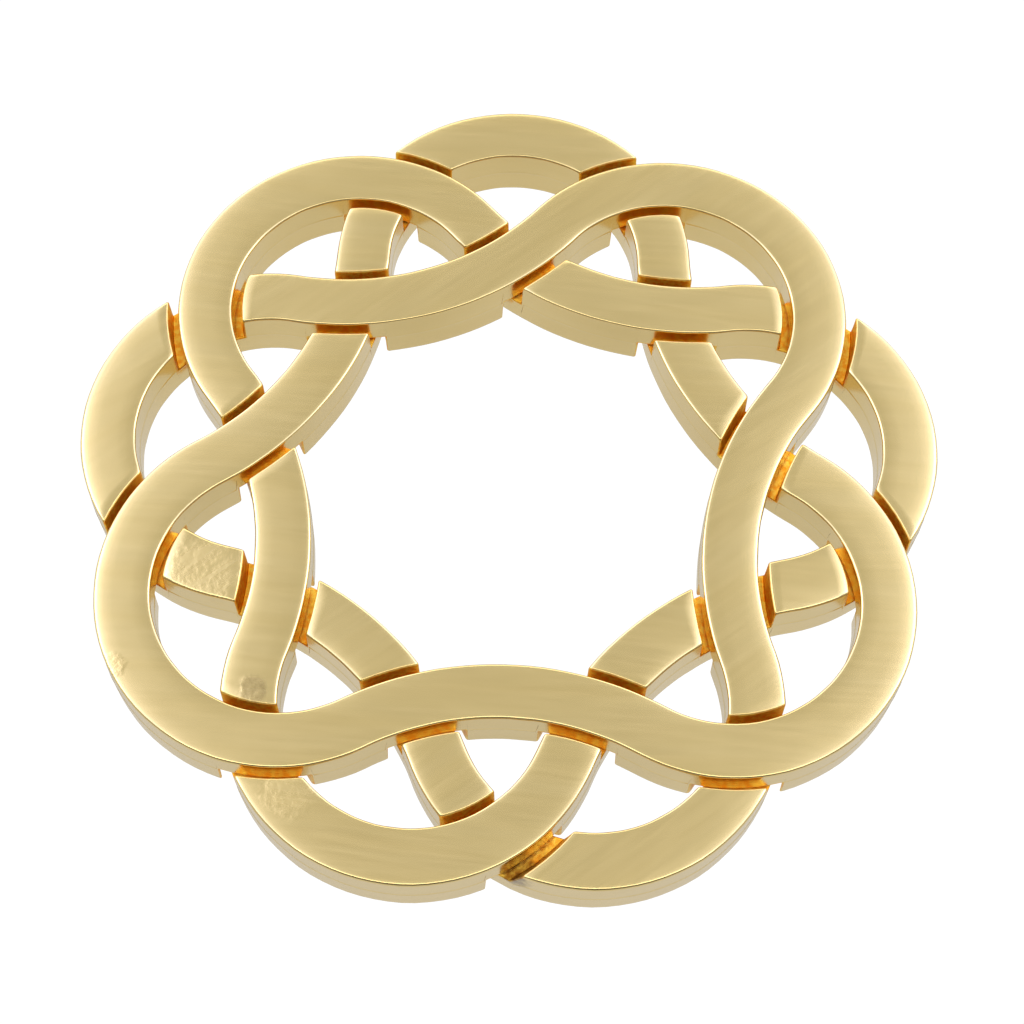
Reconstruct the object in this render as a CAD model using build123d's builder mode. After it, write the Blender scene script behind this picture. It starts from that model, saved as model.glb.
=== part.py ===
"""Three wavy cast rings, woven flat through each other as a nine-lobed knot puzzle.

The origin is the middle of the knot, halfway through its thickness. +Y runs out through a lobe of ring a.
"""

import os
from math import atan2, cos, degrees, radians, sin, sqrt

from build123d import *

# Driving dimensions, in millimetres and degrees
outer_reach = 35.15  # from the middle to the outermost edge of a lobe
hole_reach = 16.05  # from the middle to the innermost edge of a dip
lobe_radius = 12.65  # of the strand's centreline round a lobe
strand_width = 4.6
thickness = 5.2
edge_round = 0.3  # on the long edges of a strand
side_play = 0.75  # between a crossing strand and each wall of its pocket
floor_play = 0.1  # between a pocket's floor and the middle plane
slit_play = 0.4  # what the slit is wider than a pocketed strand is thick
overshoot = 1.0  # how far a cutter runs past what it cuts

lobes = 3
lobe_pitch = 360 / lobes
lobe_heading = {"a": 90, "b": 50, "c": 10}  # the way one lobe of each ring points
slit_ring = "b"  # the ring that links the other two, and so has to let them in
slit_cover = "c"  # the ring that hides the slit
slit_heading = 270  # the crossing that the slit lies under

# The crossings come every 20 degrees from 10 degrees, and the pairs that cross repeat in turn.
crossing_pitch = 20
first_crossing = 10
crossing_pairs = [("a", "b"), ("b", "c"), ("c", "a")]
upper_rings = "bbcbbcbcaacaacaaba"

# The centreline is a chain of tangent arcs: one round each lobe, and one through each dip.
lobe_centre = outer_reach - strand_width / 2 - lobe_radius
dip_reach = hole_reach + strand_width / 2
arc_step = lobe_radius - dip_reach
dip_centre = (lobe_centre**2 - arc_step**2) / (2 * lobe_centre * cos(radians(lobe_pitch / 2)) + 2 * arc_step)
dip_radius = dip_centre - dip_reach
join_x = dip_centre * cos(radians(lobe_pitch / 2)) - lobe_centre
join_y = dip_centre * sin(radians(lobe_pitch / 2))
lobe_sweep = degrees(atan2(join_y, join_x))  # half the lobe's arc
dip_sweep = lobe_sweep - lobe_pitch / 2  # half the dip's arc

half = thickness / 2
pocket_width = strand_width + 2 * side_play
pocket_height = half + floor_play + overshoot
window_radius = 1.05 * pocket_width  # round a crossing, takes in the whole of it and no other
slit_width = half - floor_play + slit_play


def ray_hits(centre, radius, turn):
    """The near and far distance at which a ray, turned from an arc's own axis, meets the arc."""
    along = centre * cos(radians(turn))
    half_chord = sqrt(radius**2 - (centre * sin(radians(turn))) ** 2)
    return along - half_chord, along + half_chord


# Crossings lie on two circles: by turns on the dips' side and on the lobes' side of the knot.
inner_crossing_reach = ray_hits(dip_centre, dip_radius, crossing_pitch)[0]
outer_crossing_reach = ray_hits(lobe_centre, lobe_radius, crossing_pitch)[1]
crossing_reaches = (inner_crossing_reach, outer_crossing_reach)


def polar(reach, heading):
    """The point at a distance from the middle, in a direction in degrees."""
    return (reach * cos(radians(heading)), reach * sin(radians(heading)))


def wave_line(heading, offset):
    """Draws the closed line that runs at an offset outward from a ring's centreline."""
    for lobe in range(lobes):
        axis = heading + lobe * lobe_pitch
        CenterArc(polar(lobe_centre, axis), lobe_radius + offset, axis - lobe_sweep, 2 * lobe_sweep)
        dip_axis = axis + lobe_pitch / 2
        dip_start = dip_axis + 180 - dip_sweep
        CenterArc(polar(dip_centre, dip_axis), dip_radius - offset, dip_start, 2 * dip_sweep)


def wave_band(heading, width, mode=Mode.ADD):
    """Adds a ring's band, of this width, to the open sketch, or keeps only what lies in it."""
    with BuildLine() as outer_line:
        wave_line(heading, width / 2)
    make_face(outer_line.edges(), mode=mode)
    with BuildLine() as inner_line:
        wave_line(heading, -width / 2)
    make_face(inner_line.edges(), mode=Mode.SUBTRACT)


def crossings(name, other):
    """Where two rings cross: those places where the first is on top, and those where the second is."""
    over = []
    under = []
    for number, upper in enumerate(upper_rings):
        if {name, other} == set(crossing_pairs[number % len(crossing_pairs)]):
            place = polar(crossing_reaches[number % 2], first_crossing + number * crossing_pitch)
            if upper == name:
                over.append(place)
            else:
                under.append(place)
    return over, under


def cut_band(heading, width, places, base, height):
    """Cuts a ring's band out of the open part, near these places and between two heights."""
    with BuildSketch(Plane.XY.offset(base)) as stretches:
        with Locations(*places):
            Circle(window_radius)
        wave_band(heading, width, mode=Mode.INTERSECT)
    extrude(stretches.sketch, amount=height, mode=Mode.SUBTRACT)


def wave_ring(name):
    """One ring, cast in one piece, halved in thickness wherever another ring crosses it."""
    with BuildPart() as ring:
        with BuildSketch():
            wave_band(lobe_heading[name], strand_width)
        extrude(amount=half, both=True)
        fillet(ring.faces().sort_by(Axis.Z)[0].edges(), edge_round)
        fillet(ring.faces().sort_by(Axis.Z)[-1].edges(), edge_round)
        for other in sorted(set(lobe_heading) - {name}):
            over, under = crossings(name, other)
            heading = lobe_heading[other]
            cut_band(heading, pocket_width, over, -half - overshoot, pocket_height)
            cut_band(heading, pocket_width, under, -floor_play, pocket_height)
        if name == slit_ring:
            place = polar(outer_crossing_reach, slit_heading)
            cut_band(lobe_heading[slit_cover], slit_width, [place], -half - overshoot, pocket_height)
    ring.part.label = f"wave_ring_{name}"
    return ring.part


os.makedirs("parts", exist_ok=True)
for name in lobe_heading:
    part = wave_ring(name)
    export_step(part, f"parts/{part.label}.step")
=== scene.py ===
"""Dresses a woven ring puzzle: three wavy cast rings, plated in satin gold, lying flat over a pale floor."""

import logging
import math
from dataclasses import dataclass, replace
from enum import Enum

import bmesh
import bpy
import numpy as np
from mathutils import Matrix, Vector


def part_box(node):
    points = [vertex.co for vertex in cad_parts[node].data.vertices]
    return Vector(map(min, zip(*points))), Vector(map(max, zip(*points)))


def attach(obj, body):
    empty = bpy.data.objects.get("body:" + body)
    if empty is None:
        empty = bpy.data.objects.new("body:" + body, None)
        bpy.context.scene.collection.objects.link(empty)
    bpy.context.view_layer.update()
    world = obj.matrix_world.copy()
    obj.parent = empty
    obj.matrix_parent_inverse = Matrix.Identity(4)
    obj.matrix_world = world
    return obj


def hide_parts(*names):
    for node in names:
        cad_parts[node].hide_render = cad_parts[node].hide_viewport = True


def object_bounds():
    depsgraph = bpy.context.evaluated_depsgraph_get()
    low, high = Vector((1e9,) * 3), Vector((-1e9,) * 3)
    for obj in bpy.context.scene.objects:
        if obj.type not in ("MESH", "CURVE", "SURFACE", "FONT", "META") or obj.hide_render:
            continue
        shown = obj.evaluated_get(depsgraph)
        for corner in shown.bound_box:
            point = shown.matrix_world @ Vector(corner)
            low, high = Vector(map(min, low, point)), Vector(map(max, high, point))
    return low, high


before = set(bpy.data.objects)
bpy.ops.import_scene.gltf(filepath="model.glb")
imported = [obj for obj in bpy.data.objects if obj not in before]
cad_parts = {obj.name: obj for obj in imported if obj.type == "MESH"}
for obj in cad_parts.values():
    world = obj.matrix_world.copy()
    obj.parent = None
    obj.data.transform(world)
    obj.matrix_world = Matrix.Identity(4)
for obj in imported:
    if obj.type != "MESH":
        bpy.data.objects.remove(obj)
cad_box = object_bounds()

log = logging.getLogger("ring_puzzle")

MM = 0.001
TURN = 2 * math.pi
ARC_DEGREES = (0, 30, 60, 90)  # a rounded edge is drawn at these angles
EDGE_PEAK = 4.0  # makes share * (1 - share) reach 1 where the share is a half
NOISE_MEAN = 0.5

Socket = bpy.types.NodeSocket
Outputs = bpy.types.NodeOutputs
Feeds = dict[str | int, object]
Span = tuple[float, float]
Outline = list[Span]
Colour = tuple[float, float, float]


def polar(reach: float, degrees: float) -> Span:
    """Gives the x and y of a place by its distance from the knot's middle and its heading."""
    angle = math.radians(degrees)
    return reach * math.cos(angle), reach * math.sin(angle)


def rays(angles: np.ndarray) -> np.ndarray:
    """Gives the x and y of the unit directions at these angles."""
    return np.stack([np.cos(angles), np.sin(angles)], 1)


def put(name: str, data: bpy.types.ID) -> bpy.types.Object:
    """Puts something in the scene.

    Args:
        name: The object's name.
        data: The mesh, lamp or camera that it holds.

    Returns:
        The object.
    """
    obj = bpy.data.objects.new(name, data)
    bpy.context.scene.collection.objects.link(obj)
    return obj


class Face(Enum):
    """The flat face of the knot that a pocket is cut into."""

    UPPER = 1
    LOWER = -1


@dataclass(frozen=True)
class WaveShape:
    """The line that a ring's strand follows: tangent arcs, by turns round a lobe and through a dip.

    A place on a ring is told by how far it is along the centreline, and how far across, outwards from it.
    """

    outer_reach: float
    thickness: float
    hole_reach: float = 16.05 * MM
    lobe_radius: float = 12.65 * MM
    strand_width: float = 4.6 * MM
    lobes: int = 3

    @property
    def pitch(self) -> float:
        """The angle from one lobe to the next."""
        return TURN / self.lobes

    @property
    def lobe_centre(self) -> float:
        """How far the middle of a lobe's arc is from the knot's middle."""
        return self.outer_reach - self.strand_width / 2 - self.lobe_radius

    @property
    def dip_centre(self) -> float:
        """How far the middle of a dip's arc is from the knot's middle, so that the arcs are tangent."""
        step = self.lobe_radius - self.hole_reach - self.strand_width / 2
        return (self.lobe_centre**2 - step**2) / (2 * self.lobe_centre * math.cos(self.pitch / 2) + 2 * step)

    @property
    def dip_radius(self) -> float:
        """The radius of a dip's arc."""
        return self.dip_centre - self.hole_reach - self.strand_width / 2

    @property
    def lobe_half(self) -> float:
        """Half the angle that a lobe's arc covers."""
        rise = self.dip_centre * math.sin(self.pitch / 2)
        return math.atan2(rise, self.dip_centre * math.cos(self.pitch / 2) - self.lobe_centre)

    @property
    def dip_half(self) -> float:
        """Half the angle that a dip's arc covers."""
        return self.lobe_half - self.pitch / 2

    @property
    def lobe_run(self) -> float:
        """The length of a lobe's arc."""
        return 2 * self.lobe_radius * self.lobe_half

    @property
    def period(self) -> float:
        """The length of one lobe and one dip."""
        return self.lobe_run + 2 * self.dip_radius * self.dip_half

    @property
    def length(self) -> float:
        """The length of the whole ring's centreline."""
        return self.lobes * self.period

    def place(self, along: np.ndarray, across: float, heading: float) -> np.ndarray:
        """Gives the points of a ring at these distances along it.

        Args:
            along: Distances along the centreline.
            across: Distance outwards from the centreline.
            heading: The direction of the ring's first lobe, in radians.

        Returns:
            An array of x and y.
        """
        number = np.floor(along / self.period)
        local = along - number * self.period
        lobe_angle = local / self.lobe_radius - self.lobe_half
        lobe = (self.lobe_radius + across) * rays(lobe_angle)
        lobe[:, 0] += self.lobe_centre
        dip_angle = self.pitch / 2 + math.pi + self.dip_half - (local - self.lobe_run) / self.dip_radius
        middle = self.dip_centre * np.array([math.cos(self.pitch / 2), math.sin(self.pitch / 2)])
        dip = middle + (self.dip_radius - across) * rays(dip_angle)
        point = np.where((local < self.lobe_run)[:, None], lobe, dip)
        turn = heading + number * self.pitch
        cos, sin = np.cos(turn), np.sin(turn)
        x, y = point[:, 0], point[:, 1]
        return np.stack([cos * x - sin * y, sin * x + cos * y], 1)

    def offset_from(self, points: np.ndarray, heading: float) -> np.ndarray:
        """Measures how far points near a ring lie outside its centreline.

        Args:
            points: An array of x and y.
            heading: The direction of that ring's first lobe, in radians.

        Returns:
            Distances, negative inside the centreline.
        """
        angle = np.arctan2(points[:, 1], points[:, 0]) - heading
        angle = np.abs((angle + self.pitch / 2) % self.pitch - self.pitch / 2)
        reach = np.hypot(points[:, 0], points[:, 1])
        x, y = reach * np.cos(angle), reach * np.sin(angle)
        dip_x, dip_y = (self.dip_centre * f(self.pitch / 2) for f in (math.cos, math.sin))
        on_lobe = (x - self.lobe_centre) * dip_y - y * (dip_x - self.lobe_centre) > 0
        lobe = np.hypot(x - self.lobe_centre, y) - self.lobe_radius
        dip = self.dip_radius - np.hypot(x - dip_x, y - dip_y)
        return np.where(on_lobe, lobe, dip)


@dataclass(frozen=True)
class Weave:
    """Which ring lies on top at each crossing, and how much room a pocket leaves the strand in it."""

    headings: dict[str, float]
    upper_rings: str = "bbcbbcbcaacaacaaba"
    first_crossing: float = math.radians(10)
    crossing_pitch: float = math.radians(20)
    side_play: float = 0.75 * MM
    snug_play: float = 0.50 * MM
    snug_facing: float = 0.35
    floor_play: float = 0.1 * MM
    slit_play: float = 0.4 * MM
    slit_ring: str = "b"
    slit_heading: float = math.radians(270)

    def cut_face(self, ring: str, point: np.ndarray) -> Face:
        """Tells which face of a ring is pocketed at a crossing.

        Args:
            ring: The letter of the ring.
            point: The x and y of the crossing.

        Returns:
            The lower face where the ring lies on top, and the upper face where it lies below.
        """
        angle = math.atan2(point[1], point[0]) - self.first_crossing
        number = round(angle / self.crossing_pitch) % len(self.upper_rings)
        return Face.LOWER if self.upper_rings[number] == ring else Face.UPPER


@dataclass(frozen=True)
class Lump:
    """A place where a strand's side stands proud, by its distance from the knot's middle and its heading."""

    reach: float
    heading: float
    length: float
    height: float
    side: int
    fade: float = 0.12

    def at(self, place: np.ndarray) -> float:
        """Gives how far the strand's side stands proud.

        Args:
            place: The x and y of a point on the strand's centreline.

        Returns:
            The lump's height there, which fades out towards its two ends.
        """
        x, y = polar(self.reach, self.heading)
        gap = math.hypot(place[0] - x, place[1] - y)
        share = min(1.0, max(0.0, (self.length / 2 - gap) / (self.fade * self.length)))
        return self.height * share * share * (3 - 2 * share)


@dataclass(frozen=True)
class Rim:
    """A line across the strand: where it is, at a few distances across, and how high its cut face is."""

    along: np.ndarray
    cut: Face
    height: float
    round_off: float
    pocket: float
    retreat: int = 0

    def shifted(self, by: float) -> "Rim":
        """Gives the same rim moved along the strand."""
        return replace(self, along=self.along + by)


@dataclass
class StrandBlank:
    """A straight bar as long as a ring, with its pockets cut, before it is bent round the wave."""

    shape: WaveShape
    weave: Weave
    ring: str
    edge_round: float = 0.24 * MM
    floor_round: float = 0.12 * MM
    brink_round: float = 0.20 * MM
    foot_round: float = 0.14 * MM
    corner_round: float = 0.20 * MM
    wall_lean: float = 0.08 * MM
    slit_slope: float = 0.7 * MM
    crown: float = 0.06 * MM
    draft: float = 0.02 * MM
    seam_height: float = 0.03 * MM
    seam_width: float = 0.2 * MM
    rim_spacing: float = 0.8 * MM
    unevenness: float = 0.045 * MM
    swell_waves: tuple[int, ...] = (23, 37, 61)
    crown_shares: tuple[float, ...] = (0.0, 0.35, 0.68, 0.9, 1.0)
    crown_power: int = 4
    lumps: tuple[Lump, ...] = ()
    side_points: int = 8
    samples_across: int = 9
    wall_bends: int = 4
    wall_search: float = 3.0
    wall_steps: int = 600
    lean_steps: int = 801
    search_steps: int = 9000
    least_steps: int = 3

    @property
    def half(self) -> float:
        """Half the strand's thickness."""
        return self.shape.thickness / 2

    def place(self, along: np.ndarray, across: float = 0.0) -> np.ndarray:
        """Gives the x and y of points on this ring."""
        return self.shape.place(along, across, self.weave.headings[self.ring])

    def offset_from(self, other: str, points: np.ndarray) -> np.ndarray:
        """Measures how far points lie outside another ring's centreline."""
        return self.shape.offset_from(points, self.weave.headings[other])

    def side_reach(self, height: float) -> float:
        """Gives how far out the strand's side stands, with the draft that frees it from its mould."""
        return self.shape.strand_width / 2 - self.seam_height - self.draft * abs(height) / self.half

    def quarter(self, face: float, round_off: float, sign: int) -> tuple[Outline, list[float]]:
        """Draws the outline from the middle of one face to the end of its rounded edge.

        Args:
            face: How far the face is from half height, outwards.
            round_off: The radius of its edge.
            sign: 1 for the upper face, and -1 for the lower one.

        Returns:
            The points, across and height, and the share of side wall that each one shows.
        """
        reach = self.side_reach(face) - round_off
        sag = self.crown if round_off == self.edge_round else 0.0
        points, skin = [], []
        for share in self.crown_shares:
            points.append((reach * share, sign * (face - sag * share**self.crown_power)))
            skin.append(0.0)
        for degrees in ARC_DEGREES[1:]:
            angle = math.radians(degrees)
            drop = sag + (round_off - sag) * (1 - math.cos(angle))
            points.append((reach + round_off * math.sin(angle), sign * (face - drop)))
            skin.append(angle / math.radians(ARC_DEGREES[-1]))
        return points, skin

    def section(self, rim: Rim) -> tuple[np.ndarray, np.ndarray, np.ndarray]:
        """Draws the strand's outline at a rim.

        Args:
            rim: The rim.

        Returns:
            The outline's points, across and height, the side wall's share at each, and 1 on the cut face.
        """
        faces = dict.fromkeys(Face, (self.half, self.edge_round))
        faces[rim.cut] = (rim.height, rim.round_off)
        (top, top_skin), (bottom, bottom_skin) = (self.quarter(*faces[face], face.value) for face in Face)
        high, low = top[-1][1], bottom[-1][1]
        seam = self.seam_width / 2
        room = 4 * seam
        if high > room and low < -room:
            proud = self.shape.strand_width / 2
            over = [(self.side_reach(height), height) for height in (high - seam, 2 * seam, seam)]
            under = [(self.side_reach(height), height) for height in (-seam, -2 * seam, low + seam)]
            side = over + [(proud, seam / 3), (proud, -seam / 3)] + under
        else:
            last = self.side_points - 1
            steps = [seam + (high - low - 2 * seam) * step / last for step in range(self.side_points)]
            side = [(self.side_reach(high - step), high - step) for step in steps]
        points = top + side + bottom[::-1]
        skin = top_skin + [1.0] * len(side) + bottom_skin[::-1]
        above = float(rim.cut is Face.UPPER)
        on_cut = [above] * len(top) + [0.0] * len(side) + [1.0 - above] * len(bottom)
        mirrored = [(-across, height) for across, height in points[-2:0:-1]]
        whole_skin, whole_cut = (np.array(values + values[-2:0:-1]) for values in (skin, on_cut))
        return np.array(points + mirrored), whole_skin, whole_cut

    def crossings(self) -> list[tuple[float, str]]:
        """Finds where the other rings cross this one.

        Returns:
            How far along it each crossing is, in order, and the letter of the ring that crosses.
        """
        along = np.linspace(0, self.shape.length, self.search_steps, endpoint=False)
        points = self.place(along)
        found = []
        for other in sorted(set(self.weave.headings) - {self.ring}):
            offset = self.offset_from(other, points)
            for number in np.nonzero(offset * np.roll(offset, -1) < 0)[0]:
                found.append((float(along[number]), other))
        return sorted(found)

    def lean(self, crossing: float, other: str) -> float:
        """Measures how far a crossing strand slants.

        Args:
            crossing: Where the strand crosses, along this one.
            other: The letter of the crossing ring.

        Returns:
            How far along this strand its centreline moves, for each unit across.
        """
        nudge = self.shape.strand_width / 2
        window = np.linspace(-2 * nudge, 2 * nudge, self.lean_steps)
        at = []
        for across in (-nudge, nudge):
            offset = self.offset_from(other, self.place(crossing + window, across))
            at.append(window[int(np.argmin(np.abs(offset)))])
        return float(at[1] - at[0]) / (2 * nudge)

    def wall(self, crossing: float, other: str, reach: float, onward: int) -> np.ndarray:
        """Finds a line that runs beside a crossing strand.

        Args:
            crossing: Where the strand crosses, along this one.
            other: The letter of the crossing ring.
            reach: How far from that ring's centreline the line runs.
            onward: 1 for the line beyond the crossing, and -1 for the one before it.

        Returns:
            Where the line is along this strand, at each of the sampled distances across it.
        """
        steps = np.linspace(0, self.wall_search * reach, self.wall_steps)
        rows = []
        half_width = self.shape.strand_width / 2
        lean = self.lean(crossing, other)
        for across in np.linspace(-half_width, half_width, self.samples_across):
            along = crossing + lean * across + onward * steps
            offset = np.abs(self.offset_from(other, self.place(along, across)))
            far = max(1, int(np.argmax(offset >= reach)))
            share = (reach - offset[far - 1]) / (offset[far] - offset[far - 1])
            rows.append(along[far - 1] + share * (along[far] - along[far - 1]))
        return np.array(rows)

    def pocket_rim(self, along: np.ndarray, rise: float, face: Face, retreat: int = 0) -> Rim:
        """Makes a rim in a pocket, with its floor raised by a little."""
        return Rim(along, face, rise - self.weave.floor_play, self.floor_round, 1.0, retreat)

    def wall_rims(self, line: np.ndarray, face: Face, into: int, slope: float = 0.0) -> list[Rim]:
        """Makes the rims of a pocket's wall, from the brink down to the foot.

        Args:
            line: Where the wall is along the strand.
            face: The face that the pocket is cut into.
            into: 1 if the pocket lies further along, and -1 if it lies before the wall.
            slope: How much further back the brink is than the foot.

        Returns:
            The rims in order from the full strand into the pocket.
        """
        rims = []
        for degrees in ARC_DEGREES:
            angle = math.radians(degrees)
            back = slope + self.brink_round * (1 - math.sin(angle))
            height = self.half - self.brink_round * (1 - math.cos(angle))
            # How far into the pocket each rim of the brink lies; the plating uses it for the pockets'
            # roughness, pebbles and painted amber reflected light.
            pocket_share = degrees / ARC_DEGREES[-1]
            rims.append(Rim(line - into * back, face, height, self.edge_round, pocket_share, -into))
        for degrees in reversed(ARC_DEGREES):
            angle = math.radians(degrees)
            ahead = self.wall_lean + self.foot_round * (1 - math.sin(angle))
            rise = self.foot_round * (1 - math.cos(angle))
            rims.append(self.pocket_rim(line + into * ahead, rise, face, -into))
        return rims

    def between(self, start: Rim, end: Rim) -> list[Rim]:
        """Makes the rims that lead evenly from one rim to another.

        Args:
            start: The rim before them.
            end: The rim after them.

        Returns:
            The rims in order, without those two.
        """
        way = end.along - start.along
        count = max(self.least_steps, math.ceil(float(way.mean()) / self.rim_spacing))
        shares = (step / count for step in range(1, count))
        return [replace(start, along=start.along + way * share, retreat=0) for share in shares]

    def swell(self, rim: Rim, across: np.ndarray) -> np.ndarray:
        """Gives how much wider than its drawn outline the strand is cast at a rim.

        Args:
            rim: The rim.
            across: Distances across the strand.

        Returns:
            The share of its width that the strand gains at each of them.
        """
        middle = float(rim.along.mean())
        turns = TURN * middle / self.shape.length
        start = self.weave.headings[self.ring]
        waves = sum(math.sin(count * turns + nth * start) for nth, count in enumerate(self.swell_waves, 1))
        level = self.unevenness * (waves / len(self.swell_waves) - 1) / self.shape.strand_width
        share = np.full(len(across), level)
        place = self.place(np.array([middle]))[0]
        for lump in self.lumps:
            raised = lump.at(place) / (self.shape.strand_width / 2)
            share = np.where(across * lump.side > 0, share + raised, share)
        return share

    def wall_reach(self, crossing: float, onward: int, face: Face) -> float:
        """Gives how far a pocket's wall stands from the centreline of the strand in it.

        Args:
            crossing: Where the strand crosses, along this one.
            onward: 1 for the wall beyond the crossing, and -1 for the one before it.
            face: The face that the pocket is cut into.

        Returns:
            The distance, which is shorter at the walls that face the front.
        """
        steps = self.place(np.array([crossing, crossing + onward * self.shape.strand_width]))
        backwards = steps[1][1] - steps[0][1]
        snug = face is Face.UPPER and backwards > self.weave.snug_facing * self.shape.strand_width
        return self.shape.strand_width / 2 + (self.weave.snug_play if snug else self.weave.side_play)

    def is_slit(self, point: np.ndarray) -> bool:
        """Tells whether a crossing is the one that hides the ring's slit."""
        gap = math.remainder(math.atan2(point[1], point[0]) - self.weave.slit_heading, TURN)
        return self.ring == self.weave.slit_ring and abs(gap) < self.weave.crossing_pitch / 4

    def rims(self) -> tuple[list[Rim], bool]:
        """Lays out every rim of the strand in order.

        Returns:
            The rims, and whether the strand closes on itself or ends at a slit.
        """
        slit = (self.half - self.weave.floor_play + self.weave.slit_play) / 2
        stretches: list[list[Rim]] = []
        first: list[Rim] = []
        last: list[Rim] = []
        for crossing, other in self.crossings():
            point = self.place(np.array([crossing]))[0]
            face = self.weave.cut_face(self.ring, point)
            reaches = [self.wall_reach(crossing, onward, face) for onward in (-1, 1)]
            entry = self.wall_rims(self.wall(crossing, other, reaches[0], -1), face, 1)
            slope = self.slit_slope if self.is_slit(point) else 0.0
            leave = self.wall_rims(self.wall(crossing, other, reaches[1], 1), face, -1, slope)[::-1]
            if slope:
                first = [self.pocket_rim(self.wall(crossing, other, slit, 1), 0, face)] + leave
                last = entry + [self.pocket_rim(self.wall(crossing, other, slit, -1), 0, face)]
            else:
                stretches.append(entry + self.between(entry[-1], leave[0]) + leave)
        closed = not first
        if not closed:
            start = float(first[0].along.mean())
            later = [stretch for stretch in stretches if stretch[0].along.mean() > start]
            earlier = [stretch for stretch in stretches if stretch[0].along.mean() < start]
            moved = [[rim.shifted(self.shape.length) for rim in stretch] for stretch in earlier + [last]]
            stretches = [first] + later + moved
        rims = list(stretches[0])
        for before, after in zip(stretches, stretches[1:]):
            rims += self.between(before[-1], after[0]) + after
        if closed:
            rims += self.between(rims[-1], rims[0].shifted(self.shape.length))
        return rims, closed

    def build(self, name: str) -> bpy.types.Object:
        """Makes the bar's mesh, with its length along X, its width along Y and its thickness along Z.

        Args:
            name: The object's name.

        Returns:
            The bar, with the attributes side_wall and pocket on its points.
        """
        rims, closed = self.rims()
        half_width = self.shape.strand_width / 2
        sampled = np.linspace(-half_width, half_width, self.samples_across)
        straight = self.side_reach(self.half) - self.corner_round
        points, skins, pockets = [], [], []
        for rim in rims:
            outline, skin, on_cut = self.section(rim)
            outline[:, 0] *= 1 + self.swell(rim, outline[:, 0]) * skin
            excess = np.clip(np.abs(outline[:, 0]) - straight, 0, self.corner_round)
            back = self.corner_round - np.sqrt(self.corner_round**2 - excess**2)
            middle = float(rim.along.mean())
            bends = np.polyfit(sampled / half_width, rim.along - middle, self.wall_bends)
            along = middle + np.polyval(bends, outline[:, 0] / half_width)
            points.append(np.column_stack([along + rim.retreat * back, outline]))
            skins.append(skin)
            pockets.append(rim.pocket * on_cut)
        count = len(skins[0])
        rows = len(rims)
        faces: list[tuple[int, ...]] = []
        for row in range(rows if closed else rows - 1):
            here = row * count
            after = (row + 1) % rows * count
            for side in range(count):
                beside = (side + 1) % count
                faces.append((here + side, here + beside, after + beside, after + side))
        if not closed:
            faces.append(tuple(reversed(range(count))))
            faces.append(tuple((rows - 1) * count + side for side in range(count)))
        mesh = bpy.data.meshes.new(name)
        mesh.from_pydata(np.concatenate(points).tolist(), [], faces)
        # The pocket attribute marks pocket floors and brinks, where the plating paints amber reflected light
        # as well as its rougher, pebbled skin.
        for label, values in (("side_wall", skins), ("pocket", pockets)):
            layer = mesh.attributes.new(label, "FLOAT", "POINT")
            layer.data.foreach_set("value", np.concatenate(values).astype(np.float32))
        mesh.update()
        return put(name, mesh)


class NodeWriter:
    """Writes nodes and their links into a tree."""

    def __init__(self, tree: bpy.types.NodeTree) -> None:
        """Takes the tree to write in."""
        self.tree = tree

    @classmethod
    def afresh(cls, owner: bpy.types.Material | bpy.types.World) -> "NodeWriter":
        """Empties the node tree of a material or a world.

        Args:
            owner: The material or world.

        Returns:
            A writer for its tree.
        """
        owner.use_nodes = True
        owner.node_tree.nodes.clear()
        return cls(owner.node_tree)

    def node(self, kind: str, feeds: Feeds | None = None, **settings: object) -> bpy.types.Node:
        """Adds a node.

        Args:
            kind: The node's type.
            feeds: What goes into its inputs, by their names or numbers.
            settings: Its settings.

        Returns:
            The node.
        """
        made = self.tree.nodes.new(kind)
        for name, value in settings.items():
            setattr(made, name, value)
        for name, value in (feeds or {}).items():
            self.feed(made.inputs[name], value)
        return made

    def feed(self, socket: Socket, value: object) -> None:
        """Links an input, or sets it.

        Args:
            socket: The input.
            value: The socket to link it to, or the number, colour or vector to set it to.
        """
        if isinstance(value, Socket):
            self.tree.links.new(value, socket)
        else:
            socket.default_value = value

    def math(self, operation: str, *values: object) -> Socket:
        """Does a sum with sockets or numbers."""
        return self.node("ShaderNodeMath", dict(enumerate(values)), operation=operation).outputs[0]

    def times(self, first: object, second: object) -> Socket:
        """Multiplies two values."""
        return self.math("MULTIPLY", first, second)

    def minus(self, first: object, second: object) -> Socket:
        """Takes the second value from the first."""
        return self.math("SUBTRACT", first, second)

    def scaled(self, value: object, factor: object, base: object) -> Socket:
        """Multiplies a value by a factor and adds a base."""
        return self.math("MULTIPLY_ADD", value, factor, base)

    def rise(self, value: Socket, start: float, end: float) -> Socket:
        """Gives a share that goes smoothly from 0 to 1 as a value goes from start to end."""
        feeds = {"Value": value, "From Min": start, "From Max": end}
        return self.node("ShaderNodeMapRange", feeds, interpolation_type="SMOOTHSTEP").outputs[0]

    def noise(self, where: Socket, seed: Socket, scale: object, detail: float) -> Socket:
        """Gives the value of a noise at a place, which differs from seed to seed."""
        feeds = {"Vector": where, "W": seed, "Scale": scale, "Detail": detail}
        return self.node("ShaderNodeTexNoise", feeds, noise_dimensions="4D").outputs[0]

    def mix(self, share: object, first: object, second: object) -> Socket:
        """Mixes two colours.

        Args:
            share: How much there is of the second.
            first: A socket, or red, green and blue.
            second: The same.

        Returns:
            The mixed colour.
        """
        mixed = self.node("ShaderNodeMix", {"Factor": share}, data_type="RGBA")
        colours = [socket for socket in mixed.inputs if socket.type == "RGBA"]
        for socket, value in zip(colours, (first, second)):
            self.feed(socket, (*value, 1.0) if isinstance(value, tuple) else value)
        return next(socket for socket in mixed.outputs if socket.type == "RGBA")


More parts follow.
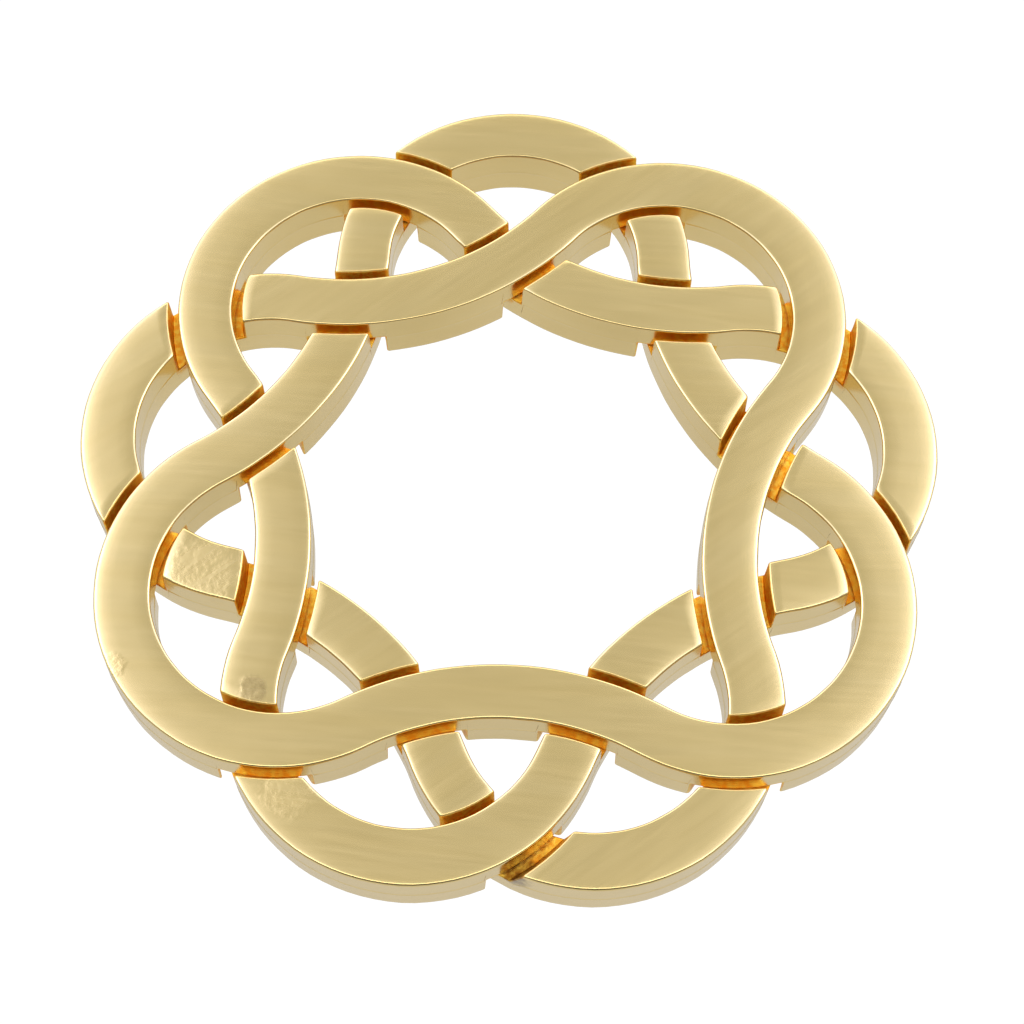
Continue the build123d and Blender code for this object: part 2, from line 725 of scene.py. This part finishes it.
class WaveBend(NodeWriter):
    """The Geometry Nodes tree that bends a straight bar round the wave, into a closed ring."""

    LOBE = ("Lobe Centre", "Lobe Radius", "Lobe Half Sweep")
    DIP = ("Dip Centre", "Dip Radius", "Dip Half Sweep")
    SIZES = (*LOBE, *DIP, "Heading")

    def __init__(self, lobes: int) -> None:
        """Builds the tree once.

        Args:
            lobes: How many lobes a ring has.
        """
        super().__init__(bpy.data.node_groups.new("Wave Bend", "GeometryNodeTree"))
        face = self.tree.interface
        face.new_socket("Geometry", in_out="INPUT", socket_type="NodeSocketGeometry")
        self.identifiers: dict[str, str] = {}
        kinds = {**dict.fromkeys(self.SIZES, "NodeSocketFloat"), "Finish": "NodeSocketMaterial"}
        for name, kind in kinds.items():
            self.identifiers[name] = face.new_socket(name, in_out="INPUT", socket_type=kind).identifier
        face.new_socket("Geometry", in_out="OUTPUT", socket_type="NodeSocketGeometry")
        self._write(TURN / lobes)

    def _write(self, pitch: float) -> None:
        """Writes the nodes: a point's X is how far along the wave it goes, and its Y how far outwards.

        Args:
            pitch: The angle from one lobe to the next.
        """
        given = self.node("NodeGroupInput").outputs
        lobe_centre, lobe_radius, lobe_half = (given[name] for name in self.LOBE)
        dip_centre, dip_radius, dip_half = (given[name] for name in self.DIP)
        position = self.node("GeometryNodeInputPosition").outputs[0]
        along, across, height = self.node("ShaderNodeSeparateXYZ", {0: position}).outputs
        lobe_run = self.times(self.times(lobe_radius, lobe_half), 2.0)
        dip_run = self.times(self.times(dip_radius, dip_half), 2.0)
        period = self.math("ADD", lobe_run, dip_run)
        number = self.math("FLOOR", self.math("DIVIDE", along, period))
        local = self.minus(along, self.times(number, period))
        angle = self.minus(self.math("DIVIDE", local, lobe_radius), lobe_half)
        lobe = self._arc(angle, self.math("ADD", lobe_radius, across), lobe_centre, 0.0)
        start = self.math("ADD", dip_half, pitch / 2 + math.pi)
        angle = self.minus(start, self.math("DIVIDE", self.minus(local, lobe_run), dip_radius))
        dip = self._arc(angle, self.minus(dip_radius, across), dip_centre, pitch / 2)
        on_dip = self.math("GREATER_THAN", local, lobe_run)
        bent: Feeds = {2: height}
        for axis, (of_lobe, of_dip) in enumerate(zip(lobe, dip)):
            bent[axis] = self.math("ADD", of_lobe, self.times(self.minus(of_dip, of_lobe), on_dip))
        turns = {
            "Vector": self.node("ShaderNodeCombineXYZ", bent).outputs[0],
            "Angle": self.scaled(number, pitch, given["Heading"]),
        }
        turned = self.node("ShaderNodeVectorRotate", turns, rotation_type="Z_AXIS").outputs[0]
        moves = {"Geometry": given["Geometry"], "Position": turned}
        moved = self.node("GeometryNodeSetPosition", moves).outputs[0]
        whole = self.node("GeometryNodeRealizeInstances", {0: moved}).outputs[0]
        dress = {"Geometry": whole, "Material": given["Finish"]}
        self.node("NodeGroupOutput", {0: self.node("GeometryNodeSetMaterial", dress).outputs[0]})

    def _arc(self, angle: Socket, reach: Socket, centre: Socket, heading: float) -> list[Socket]:
        """Follows an arc.

        Args:
            angle: The point's direction from the arc's centre.
            reach: Its distance from there.
            centre: How far the arc's centre is from the knot's middle.
            heading: The centre's direction from there.

        Returns:
            The point's x and y.
        """
        flat = []
        for operation, share in (("COSINE", math.cos(heading)), ("SINE", math.sin(heading))):
            flat.append(self.scaled(reach, self.math(operation, angle), self.times(centre, share)))
        return flat

    def bend(
        self, bar: bpy.types.Object, shape: WaveShape, heading: float, finish: bpy.types.Material
    ) -> None:
        """Bends a bar and leaves it as a plain mesh.

        Args:
            bar: The straight bar.
            shape: The wave that it follows.
            heading: The direction of the ring's first lobe.
            finish: The material of the ring.
        """
        modifier = bar.modifiers.new("Wave Bend", "NODES")
        modifier.node_group = self.tree
        sizes = (shape.lobe_centre, shape.lobe_radius, shape.lobe_half, shape.dip_centre, shape.dip_radius)
        for name, value in zip(self.SIZES, (*sizes, shape.dip_half, heading)):
            modifier[self.identifiers[name]] = float(value)
        modifier[self.identifiers["Finish"]] = finish
        bpy.context.view_layer.update()
        evaluated = bar.evaluated_get(bpy.context.evaluated_depsgraph_get())
        mesh = bpy.data.meshes.new_from_object(evaluated)
        bar.modifiers.remove(modifier)
        bar.data = mesh


class EffectGroup(NodeWriter):
    """A shader node group: one effect that more than one gold finish uses, with named inputs and outputs."""

    name = "Effect"
    inputs: dict[str, object] = {}
    outputs: tuple[str, ...] = ()

    def __init__(self) -> None:
        super().__init__(bpy.data.node_groups.new(self.name, "ShaderNodeTree"))
        face = self.tree.interface
        for name, start in {"Coordinates": (0.0, 0.0, 0.0), **self.inputs}.items():
            kind = "NodeSocketFloat" if isinstance(start, float) else "NodeSocketVector"
            face.new_socket(name, in_out="INPUT", socket_type=kind).default_value = start
        for name in self.outputs:
            face.new_socket(name, in_out="OUTPUT", socket_type="NodeSocketFloat")
        given = self.node("NodeGroupInput").outputs
        self.node("NodeGroupOutput", dict(zip(self.outputs, self.write(given))))

    def write(self, given: Outputs) -> tuple[Socket, ...]:
        """Writes the effect's nodes and gives the socket for each output."""
        raise NotImplementedError

    def place(self, to: NodeWriter, coordinates: Socket, **values: object) -> Outputs:
        """Puts the group in a material, with its other inputs by name, and gives its node's outputs."""
        return to.node("ShaderNodeGroup", {"Coordinates": coordinates, **values}, node_tree=self.tree).outputs


class BrushedGrain(EffectGroup):
    """Fine straight scratches from a polishing belt, all in one direction, in patches of uneven strength."""

    name = "Brushed Grain"
    inputs = {"Heading": 0.0, "Fineness": 2600.0, "Stretch": 14.0, "Seed": 0.0}
    outputs = ("Streaks", "Patches")
    patch_scale = 0.16

    def write(self, given: Outputs) -> tuple[Socket, ...]:
        """Stretches a fine noise along the heading, and a broad one for the patches.

        Args:
            given: The group's inputs.

        Returns:
            The sockets for the streaks and the patches.
        """
        feeds = {"Vector": given["Coordinates"], "Angle": given["Heading"]}
        turned = self.node("ShaderNodeVectorRotate", feeds, rotation_type="Z_AXIS").outputs[0]
        shrink = self.math("DIVIDE", 1.0, given["Stretch"])
        squeeze = self.node("ShaderNodeCombineXYZ", {0: shrink, 1: 1.0, 2: 1.0}).outputs[0]
        long = self.node("ShaderNodeVectorMath", {0: turned, 1: squeeze}, operation="MULTIPLY").outputs[0]
        fine = self.noise(long, given["Seed"], given["Fineness"], detail=2.0)
        broad = self.noise(long, given["Seed"], self.times(given["Fineness"], self.patch_scale), detail=3.0)
        return fine, broad


class CastSkin(EffectGroup):
    """The pebbled skin of a casting, with broad swells under it, where no belt has reached."""

    name = "Cast Skin"
    inputs = {"Grain": 2200.0, "Swell": 260.0, "Seed": 0.0}
    outputs = ("Pebbles", "Swells")

    def write(self, given: Outputs) -> tuple[Socket, ...]:
        """Adds a fine and a broad noise."""
        place = (given["Coordinates"], given["Seed"])
        return self.noise(*place, given["Grain"], detail=4.0), self.noise(*place, given["Swell"], detail=1.0)


class RoughSpot(EffectGroup):
    """A mask for a place where the casting came out rough, fading out at its edge."""

    name = "Rough Spot"
    inputs = {"Middle": (0.0, 0.0, 0.0), "Reach": 0.002, "Seed": 0.0}
    outputs = ("Mask",)
    border_scale = 1200.0
    raggedness = 0.8
    full_within = 0.2
    gone_beyond = 0.7

    def write(self, given: Outputs) -> tuple[Socket, ...]:
        """Fades a ball out, with a ragged border.

        Args:
            given: The group's inputs.

        Returns:
            The socket for the mask.
        """
        where = given["Coordinates"]
        gap = self.node("ShaderNodeVectorMath", {0: where, 1: given["Middle"]}, operation="DISTANCE")
        share = self.math("DIVIDE", gap.outputs["Value"], given["Reach"])
        ragged = self.noise(where, given["Seed"], self.border_scale, detail=2.0)
        border = self.minus(share, self.times(ragged, self.raggedness))
        return (self.rise(border, self.gone_beyond, self.full_within),)


class GoldEffects:
    """The shader groups that the gold finishes share."""

    def __init__(self) -> None:
        """Builds each group once."""
        self.grain = BrushedGrain()
        self.skin = CastSkin()
        self.rough = RoughSpot()


@dataclass(frozen=True)
class Spot:
    """A rough or stained place on a ring, by its distance from the knot's middle and its heading."""

    reach: float
    heading: float
    height: float
    size: float
    stain: float = 0.0

    @property
    def middle(self) -> tuple[float, float, float]:
        """The spot's place in the knot's frame."""
        return (*polar(self.reach, self.heading), self.height)


@dataclass(frozen=True)
class GoldPlate:
    """Satin gold plating over cast metal, brushed on its flat faces and left as cast on its side walls, with
    painted reflected light that deepens it to amber in the pockets.
    """

    name: str
    heading: float
    seed: float
    spots: tuple[Spot, ...] = ()
    face_colour: Colour = (0.91, 0.71, 0.33)
    swell_colour: Colour = (0.86, 0.645, 0.255)
    # The two pocket colours below are the gold made a deeper orange than the faces: partly the plating's own
    # colour, partly painted reflected light for the amber light that bounces round the pockets.
    pocket_reflection_colour: Colour = (1.0, 0.68, 0.10)
    deep_reflection_colour: Colour = (0.95, 0.42, 0.03)
    stain_colour: Colour = (0.10, 0.045, 0.012)
    face_roughness: float = 0.23
    side_roughness: float = 0.20
    pocket_roughness: float = 0.46
    edge_roughness: float = 0.12
    streak_roughness: float = 0.06
    spot_roughness: float = 0.04
    # The pebble range over which the painted reflected light in the pockets goes from deep amber to paler
    # amber.
    recess_pebbles: Span = (0.38, 0.62)
    stain_depth: float = 1.6
    bump_height: float = 0.016 * MM
    streak_height: float = 0.036
    swell_height: float = 1.2
    raw_swell_height: float = 0.5
    pebble_height: float = 0.05
    pocket_pebble_height: float = 2.4
    pit_height: float = 2.0

    def build(self, effects: GoldEffects) -> bpy.types.Material:
        """Makes the plating's material.

        Args:
            effects: The shared shader groups.

        Returns:
            The material.
        """
        material = bpy.data.materials.new(self.name)
        to = NodeWriter.afresh(material)
        where = to.node("ShaderNodeTexCoord").outputs["Object"]
        side = to.node("ShaderNodeAttribute", attribute_name="side_wall").outputs["Fac"]
        pocket = to.node("ShaderNodeAttribute", attribute_name="pocket").outputs["Fac"]
        grain = effects.grain.place(to, where, Heading=self.heading, Seed=self.seed)
        skin = effects.skin.place(to, where, Seed=self.seed)
        pebbled = skin["Pebbles"]
        rough, stain = self._spots(to, effects, where)
        raw = to.math("MAXIMUM", side, pocket)
        face = to.minus(1.0, raw)
        edge = to.times(to.times(side, to.minus(1.0, side)), EDGE_PEAK)
        patch = to.mix(grain["Patches"], self.face_colour, self.swell_colour)
        # Painted reflected light: the pockets take the deep amber colours, mottled by the pebbles, for light
        # bouncing between the walls.
        pocket_reflection = to.mix(to.rise(pebbled, *self.recess_pebbles), self.deep_reflection_colour, self.pocket_reflection_colour)
        gold = to.mix(pocket, patch, pocket_reflection)
        shaded = to.times(stain, to.times(to.minus(1.0, pebbled), self.stain_depth))
        colour = to.mix(shaded, gold, self.stain_colour)
        streaks = to.times(to.minus(grain["Streaks"], NOISE_MEAN), self.streak_roughness * 2)
        plain = to.scaled(raw, self.side_roughness - self.face_roughness, self.face_roughness)
        dulled = to.scaled(streaks, face, plain)
        smooth = to.scaled(edge, self.edge_roughness - self.face_roughness, dulled)
        deep = to.scaled(pocket, self.pocket_roughness - self.side_roughness, smooth)
        roughness = to.scaled(rough, self.spot_roughness, deep)
        on_face = to.times(to.times(grain["Streaks"], face), self.streak_height)
        swells = to.times(skin["Swells"], to.scaled(raw, self.raw_swell_height, self.swell_height))
        pebbles = to.times(pebbled, to.scaled(pocket, self.pocket_pebble_height, self.pebble_height))
        pits = to.times(to.times(pebbled, rough), self.pit_height)
        height = to.math("ADD", to.math("ADD", on_face, swells), to.math("ADD", pebbles, pits))
        bump = to.node("ShaderNodeBump", {"Height": height, "Distance": self.bump_height, "Strength": 1.0})
        feeds = {"Base Color": colour, "Metallic": 1.0, "Roughness": roughness, "Normal": bump.outputs[0]}
        shader = to.node("ShaderNodeBsdfPrincipled", feeds)
        to.node("ShaderNodeOutputMaterial", {"Surface": shader.outputs[0]})
        return material

    def _spots(self, to: NodeWriter, effects: GoldEffects, where: Socket) -> tuple[object, object]:
        """Gathers the rough spots.

        Args:
            to: Writes in the material's tree.
            effects: The shared shader groups.
            where: The material's Object coordinates.

        Returns:
            The mask of all the spots, and of the stains on them.
        """
        rough: object = 0.0
        stain: object = 0.0
        for spot in self.spots:
            mask = effects.rough.place(to, where, Middle=spot.middle, Reach=spot.size, Seed=self.seed)["Mask"]
            rough = to.math("MAXIMUM", rough, mask)
            stain = to.math("MAXIMUM", stain, to.times(mask, spot.stain))
        return rough, stain


@dataclass
class RingPuzzle:
    """The knot of three rings, which all follow one wave and differ in where they are cut."""

    shape: WaveShape
    weave: Weave
    finishes: dict[str, GoldPlate]
    lumps: dict[str, tuple[Lump, ...]]
    smooth_angle: float = math.radians(42)
    merge_gap: float = 0.0005 * MM

    def build(self) -> None:
        """Builds, bends, dresses and declares each ring."""
        effects = GoldEffects()
        bender = WaveBend(self.shape.lobes)
        for ring, heading in self.weave.headings.items():
            blank = StrandBlank(self.shape, self.weave, ring, lumps=self.lumps.get(ring, ()))
            piece = blank.build(f"woven_ring_{ring}")
            bender.bend(piece, self.shape, heading, self.finishes[ring].build(effects))
            self.close(piece.data)
            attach(piece, f"ring_{ring}")
            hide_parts(f"wave_ring_{ring}")
            log.info("%s: %d faces", piece.name, len(piece.data.polygons))

    def close(self, mesh: bpy.types.Mesh) -> None:
        """Points a ring's faces outwards and smooths its shading between the crisp edges.

        Args:
            mesh: The ring's mesh.
        """
        work = bmesh.new()
        work.from_mesh(mesh)
        bmesh.ops.remove_doubles(work, verts=work.verts, dist=self.merge_gap)
        bmesh.ops.recalc_face_normals(work, faces=work.faces)
        if work.calc_volume(signed=True) < 0:
            bmesh.ops.reverse_faces(work, faces=work.faces)
        work.to_mesh(mesh)
        work.free()
        mesh.shade_smooth()
        mesh.set_sharp_from_angle(angle=self.smooth_angle)


@dataclass(frozen=True)
class PaleFloor:
    """A pale floor that looks white from above, lights the knot softly, and is clear when seen from below.

    It lies deep enough under the knot for the rings to fold out through the knot's plane.
    """

    knot_base: float
    drop: float = 29 * MM
    size: float = 12.0
    glow: float = 1.05
    backlight: float = 0.42
    backlight_tint: Colour = (0.985, 1.0, 0.99)
    paint: float = 0.25
    paint_spread: float = 0.01
    grain_scale: float = 40.0

    def build(self) -> None:
        """Makes the floor and its paint."""
        half = self.size / 2
        height = self.knot_base - self.drop
        corners = [(-half, -half), (half, -half), (half, half), (-half, half)]
        mesh = bpy.data.meshes.new("pale_floor")
        mesh.from_pydata([(x, y, height) for x, y in corners], [], [(0, 1, 2, 3)])
        material = bpy.data.materials.new("pale_floor_paint")
        to = NodeWriter.afresh(material)
        where = to.node("ShaderNodeTexCoord").outputs["Object"]
        grain = to.node("ShaderNodeTexNoise", {"Vector": where, "Scale": self.grain_scale}).outputs[0]
        shades = {"To Min": self.paint - self.paint_spread, "To Max": self.paint + self.paint_spread}
        shade = to.node("ShaderNodeMapRange", {"Value": grain, **shades}).outputs[0]
        paint = to.node("ShaderNodeBsdfDiffuse", {"Color": shade}).outputs[0]
        white = to.node("ShaderNodeEmission", {"Strength": self.glow}).outputs[0]
        tinted = {"Color": (*self.backlight_tint, 1.0), "Strength": self.backlight}
        under = to.node("ShaderNodeEmission", tinted).outputs[0]
        lit = to.node("ShaderNodeAddShader", {0: paint, 1: under}).outputs[0]
        looked_at = to.node("ShaderNodeLightPath").outputs["Is Camera Ray"]
        seen = to.node("ShaderNodeMixShader", {0: looked_at, 1: lit, 2: white}).outputs[0]
        below = to.node("ShaderNodeNewGeometry").outputs["Backfacing"]
        clear = to.node("ShaderNodeBsdfTransparent").outputs[0]
        sided = to.node("ShaderNodeMixShader", {0: below, 1: seen, 2: clear}).outputs[0]
        to.node("ShaderNodeOutputMaterial", {"Surface": sided})
        mesh.materials.append(material)
        put("pale_floor", mesh)


@dataclass(frozen=True)
class Softbox:
    """A large soft lamp, by its heading, its height over the knot's plane, and its distance from the knot."""

    name: str
    heading: float
    elevation: float
    distance: float
    width: float
    depth: float
    watts: float

    def build(self) -> None:
        """Hangs the lamp, turned to face the knot."""
        lamp = bpy.data.lights.new(self.name, "AREA")
        lamp.shape = "RECTANGLE"
        lamp.size = self.width
        lamp.size_y = self.depth
        lamp.energy = self.watts
        obj = put(self.name, lamp)
        flat, up = polar(1.0, self.elevation)
        place = Vector((*polar(flat, self.heading), up))
        obj.location = place * self.distance
        obj.rotation_euler = place.to_track_quat("Z", "Y").to_euler()


@dataclass(frozen=True)
class Studio:
    """The room round the knot: soft light from above, brighter at the sides and back, and dim in front."""

    overhead: float = 0.562
    front: float = 0.05
    low_front: float = 0.34
    sides: float = 1.2
    flanks: float = 0.75
    back: float = 0.3
    tint: Colour = (0.985, 1.0, 1.0)
    side_tint: Colour = (0.93, 1.0, 1.5)
    front_edge: Span = (-0.55, 0.05)
    low_edge: Span = (0.64, 0.46)
    side_edge: Span = (0.08, 0.5)
    flank_edge: Span = (0.55, 0.85)
    back_edge: Span = (0.72, 0.97)
    lamps: tuple[Softbox, ...] = ()

    def build(self) -> None:
        """Makes the room's light and hangs the lamps."""
        world = bpy.data.worlds.new("soft_room")
        bpy.context.scene.world = world
        to = NodeWriter.afresh(world)
        direction = to.node("ShaderNodeTexCoord").outputs["Generated"]
        x, y, z = to.node("ShaderNodeSeparateXYZ", {0: direction}).outputs
        lit = to.rise(y, *self.front_edge)
        low = to.times(to.rise(z, *self.low_edge), to.minus(1.0, lit))
        above = to.scaled(lit, self.overhead - self.front, self.front)
        above = to.scaled(low, self.low_front, above)
        aside = to.math("ABSOLUTE", x)
        beside = to.times(to.rise(aside, *self.side_edge), lit)
        flank = to.scaled(to.rise(aside, *self.flank_edge), -self.flanks, 1.0)
        beside = to.times(beside, flank)
        behind = to.rise(y, *self.back_edge)
        total = to.scaled(behind, self.back, to.scaled(beside, self.sides, above))
        colour = to.mix(beside, self.tint, self.side_tint)
        light = to.node("ShaderNodeBackground", {"Color": colour, "Strength": total})
        to.node("ShaderNodeOutputWorld", {"Surface": light.outputs[0]})
        for lamp in self.lamps:
            lamp.build()
        bpy.context.scene.view_settings.view_transform = "Standard"


@dataclass(frozen=True)
class Viewpoint:
    """The camera, by where it stands from the middle of the knot's underside."""

    elevation: float = math.radians(65.128)
    azimuth: float = math.radians(0.198)
    roll: float = math.radians(1.180)
    distance: float = 0.181293
    lens: float = 77.16
    sensor: float = 36
    clip: Span = (0.005, 20)
    shift: Span = (0.0042, -0.0092)

    def build(self, knot_base: float) -> None:
        """Sets the scene's camera.

        Args:
            knot_base: The height of the knot's underside.
        """
        camera = bpy.data.cameras.new("viewpoint")
        camera.lens = self.lens
        camera.sensor_width = self.sensor
        camera.shift_x, camera.shift_y = self.shift
        camera.clip_start, camera.clip_end = self.clip
        flat = math.cos(self.elevation)
        sin, cos = math.sin(self.azimuth), math.cos(self.azimuth)
        back = Vector((sin * flat, -cos * flat, math.sin(self.elevation)))
        right = Vector((cos, sin, 0))
        up = back.cross(right)
        turned_right = right * math.cos(self.roll) + up * math.sin(self.roll)
        turned_up = up * math.cos(self.roll) - right * math.sin(self.roll)
        obj = put("viewpoint", camera)
        axes = Matrix((turned_right, turned_up, back)).transposed().to_4x4()
        obj.matrix_world = Matrix.Translation(back * self.distance + Vector((0, 0, knot_base))) @ axes
        bpy.context.scene.camera = obj


def ring_finishes() -> dict[str, GoldPlate]:
    """Gives each ring its plating, with the direction it was brushed in and its rough spots.

    Returns:
        The platings by the rings' letters.
    """
    # distance from the knot's middle, heading, height, size, stain
    spots_a = (
        Spot(34.6 * MM, 209.4, 2.4 * MM, 1.1 * MM),
        Spot(15.9 * MM, 136.0, 1.2 * MM, 0.7 * MM, 1.0),
    )
    spots_b = (
        Spot(25.3 * MM, 200.5, 2.6 * MM, 3.0 * MM),
        Spot(31.6 * MM, 272.6, 1.0 * MM, 2.0 * MM, 0.75),
        Spot(30.2 * MM, 275.6, 1.0 * MM, 1.7 * MM, 0.25),
    )
    spots_c = (
        Spot(26.9 * MM, 224.3, 2.6 * MM, 1.3 * MM, 0.35),
        Spot(31.1 * MM, 239.3, 2.6 * MM, 2.2 * MM),
        Spot(23.2 * MM, 289.2, 1.4 * MM, 0.7 * MM, 1.0),
    )
    return {
        "a": GoldPlate("gold_plate_ring_a", math.radians(2), 1.0, spots_a),
        "b": GoldPlate("gold_plate_ring_b", math.radians(-38), 2.0, spots_b),
        "c": GoldPlate("gold_plate_ring_c", math.radians(6), 3.0, spots_c),
    }


def main() -> None:
    """Builds the knot, the floor, the light and the camera."""
    logging.basicConfig(level=logging.INFO)
    low, high = cad_box
    headings = {"a": math.radians(90), "b": math.radians(50), "c": math.radians(10)}
    shape = WaveShape(outer_reach=float(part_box("wave_ring_a")[1][1]), thickness=float(high[2] - low[2]))
    lumps = {"c": (Lump(reach=28.5 * MM, heading=44.6, length=7.5 * MM, height=0.4 * MM, side=1),)}
    RingPuzzle(shape, Weave(headings), ring_finishes(), lumps).build()
    knot_base = float(low[2])
    PaleFloor(knot_base).build()
    # heading, elevation, distance, width, depth, watts
    lamps = (
        Softbox("left_softbox", 160, 47, 0.9, 0.5, 0.35, 1.1),
        Softbox("right_softbox", 20, 47, 0.9, 0.5, 0.35, 1.3),
        Softbox("back_softbox", 90, 30, 1.0, 1.0, 0.3, 1.1),
        Softbox("front_softbox", 270, 71, 0.9, 1.1, 0.25, 1.6),
    )
    Studio(lamps=lamps).build()
    Viewpoint().build(knot_base)


if __name__ == "__main__":
    main()
